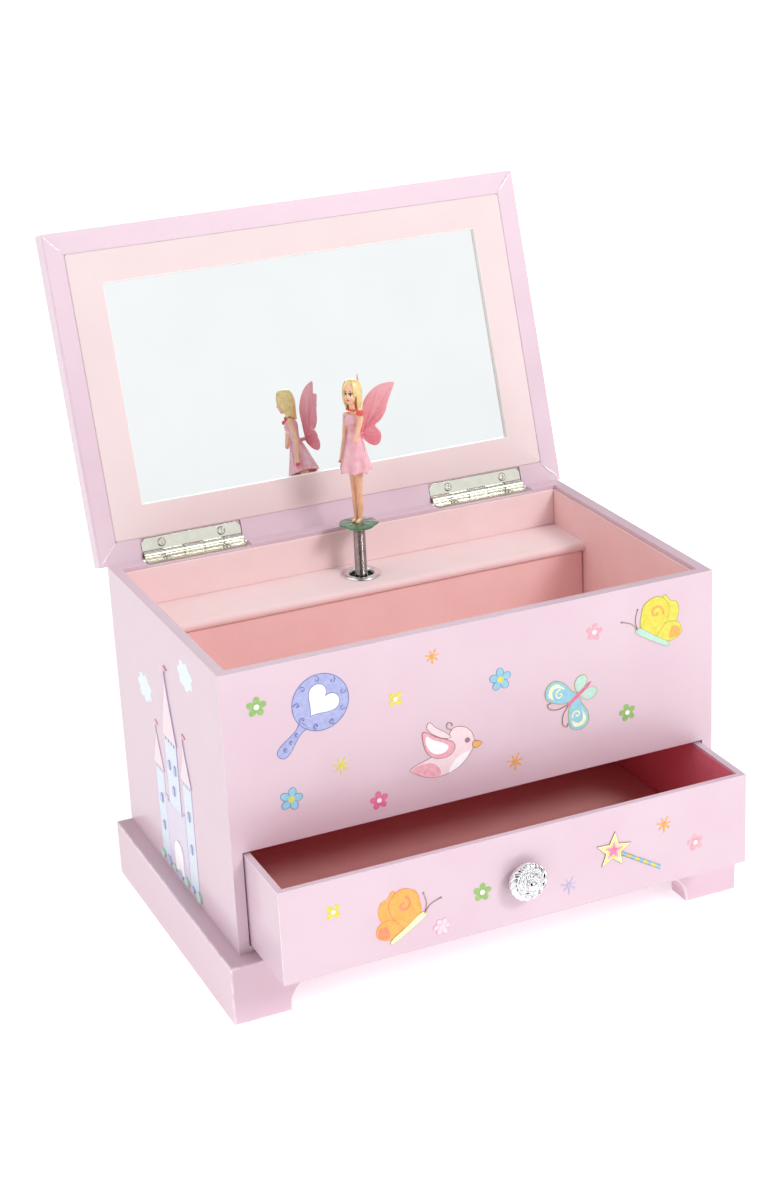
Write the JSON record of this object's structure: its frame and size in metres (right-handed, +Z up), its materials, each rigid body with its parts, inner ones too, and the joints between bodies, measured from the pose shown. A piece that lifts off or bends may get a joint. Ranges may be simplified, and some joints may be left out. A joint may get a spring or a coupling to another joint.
{
  "type": "musical jewellery box",
  "caption": "Rectangular music box with a lift-up mirror lid, a lined tray, a front drawer and a sprung turning fairy driven by a wind-up movement.",
  "frame": {"origin": "centre of the box body's footprint, on the surface the base stands on", "axes": "+X to the right along the front, +Y to the back, +Z up; the lid stands open and the drawer is partly out at rest"},
  "size_m": [0.2024, 0.2046, 0.2468],
  "materials": {
    "wrap_paper": "glossy printed paper over fibreboard",
    "base_paper": "glossy printed paper over fibreboard",
    "flock": "short flocked velvet on card",
    "flock_pale": "short flocked velvet on card",
    "mirror": "silvered glass",
    "card": "grey card",
    "nickel": "nickel plated",
    "chrome": "bright chrome",
    "spring_steel": "polished steel",
    "movement_brass": "satin brass",
    "leaf_plastic": "glossy moulded plastic",
    "skin_plastic": "painted moulded plastic",
    "dress_plastic": "painted moulded plastic",
    "hair_plastic": "painted moulded plastic",
    "wing_plastic": "soft moulded plastic",
    "flower_plastic": "painted moulded plastic"
  },
  "bodies": {
    "box": {"base_frame": "base_paper", "body_left": "wrap_paper", "body_right": "wrap_paper", "body_front": "wrap_paper", "body_back": "wrap_paper", "bottom_board": "base_paper", "divider_board": "base_paper", "lining_floor": "flock", "lining_left": "flock", "lining_right": "flock", "lining_front": "flock", "lining_back": "flock", "ledge_top": "flock_pale", "ledge_front": "flock", "eyelet": "nickel", "spindle_bush": "movement_brass", "hinge_base_leaves": "nickel", "hinge_pins": "spring_steel", "hinge_base_screws": "nickel", "bedplate": "movement_brass", "spring_housing": "movement_brass", "mainspring": "spring_steel", "spindle_bracket": "movement_brass", "drum_brackets": "movement_brass", "comb_base": "movement_brass", "comb": "spring_steel", "comb_screws": "spring_steel", "movement_screws": "nickel"},
    "lid": {"lid_frame": "wrap_paper", "lid_panel": "wrap_paper", "lid_mat": "flock_pale", "lid_mirror": "mirror", "mirror_card": "card", "hinge_lid_leaves": "nickel", "hinge_lid_screws": "nickel"},
    "drawer": {"drawer_front": "wrap_paper", "drawer_back": "wrap_paper", "drawer_left": "wrap_paper", "drawer_right": "wrap_paper", "drawer_bottom": "base_paper", "drawer_lining": "flock", "drawer_knob": "chrome", "knob_screw": "spring_steel"},
    "winding_train": {"winding_arbor": "spring_steel", "main_wheel": "movement_brass", "winding_key": "movement_brass"},
    "spindle": {"spindle": "spring_steel", "spindle_pinion": "movement_brass"},
    "drum": {"drum": "movement_brass", "drum_pinion": "movement_brass", "drum_gear": "movement_brass"},
    "governor": {"governor_shaft": "spring_steel", "governor_fan": "spring_steel"},
    "spring_neck": {"figure_spring": "spring_steel"},
    "figure": {"leaf_base": "leaf_plastic", "fairy_body": "skin_plastic", "fairy_dress": "dress_plastic", "fairy_hair": "hair_plastic", "fairy_wings": "wing_plastic", "fairy_flowers": "flower_plastic"}
  },
  "joints": [
    {"name": "lid_hinge", "type": "hinge", "parent": "box", "child": "lid", "pos_m": [0, 0.0613, 0.1285], "axis": [1, 0, 0], "range_deg": [0, 107.2]},
    {"name": "drawer_slide", "type": "slide", "parent": "box", "child": "drawer", "axis": [0, -1, 0], "range_m": [-0.031, 0.045]},
    {"name": "figure_fold", "type": "hinge", "parent": "box", "child": "spring_neck", "pos_m": [0, 0.0413, 0.114], "axis": [1, 0, 0], "range_deg": [0, 107.2], "deforming": ["figure_spring"]},
    {"name": "figure_spin", "type": "hinge", "parent": "spring_neck", "child": "figure", "pos_m": [0, 0.0413, 0.132], "axis": [0, 0, 1], "continuous": true},
    {"name": "key_turn", "type": "hinge", "parent": "box", "child": "winding_train", "pos_m": [0, 0.06, 0.088], "axis": [0, 1, 0], "continuous": true},
    {"name": "spindle_spin", "type": "hinge", "parent": "box", "child": "spindle", "pos_m": [0, 0.0413, 0.1], "axis": [0, 0, 1], "continuous": true},
    {"name": "drum_spin", "type": "hinge", "parent": "box", "child": "drum", "pos_m": [0.02, 0.0413, 0.088], "axis": [1, 0, 0], "continuous": true},
    {"name": "governor_spin", "type": "hinge", "parent": "box", "child": "governor", "pos_m": [0.03, 0.0413, 0.096], "axis": [1, 0, 0], "continuous": true}
  ],
  "couplings": [
    {"joint": "figure_fold", "follows": "lid_hinge", "ratio": 1},
    {"joint": "spindle_spin", "follows": "key_turn", "ratio": -3},
    {"joint": "figure_spin", "follows": "key_turn", "ratio": -3},
    {"joint": "drum_spin", "follows": "key_turn", "ratio": -3},
    {"joint": "governor_spin", "follows": "key_turn", "ratio": 9}
  ]
}
